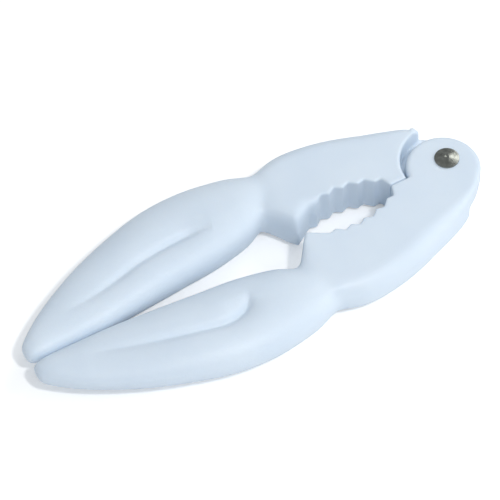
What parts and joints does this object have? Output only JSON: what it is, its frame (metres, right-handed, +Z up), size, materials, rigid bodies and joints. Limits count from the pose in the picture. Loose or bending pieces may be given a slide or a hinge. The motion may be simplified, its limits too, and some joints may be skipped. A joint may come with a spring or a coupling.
{
  "type": "lobster cracker",
  "caption": "Claw-shaped moulded plastic lobster cracker: toothed jaws, half-lap hinge and a steel rivet over a washer.",
  "frame": {"origin": "on the resting surface, under the middle of the closed cracker's box", "axes": "+X along the cracker from the claw tips to the hinge, +Y across it from the front arm to the rear arm, +Z up along the rivet"},
  "size_m": [0.18, 0.078, 0.0184],
  "materials": {
    "moulded_plastic": "satin with a fine moulded grain",
    "rivet_steel": "turned"
  },
  "bodies": {
    "rear_body": {"rear_arm": "moulded_plastic", "pivot_rivet": "rivet_steel", "rivet_washer": "rivet_steel"},
    "front_body": {"front_arm": "moulded_plastic"}
  },
  "joints": [
    {"name": "arm_hinge", "type": "hinge", "parent": "rear_body", "child": "front_body", "pos_m": [0.079, 0, 0.0092], "axis": [0, 0, 1], "range_deg": [0, 150]}
  ]
}
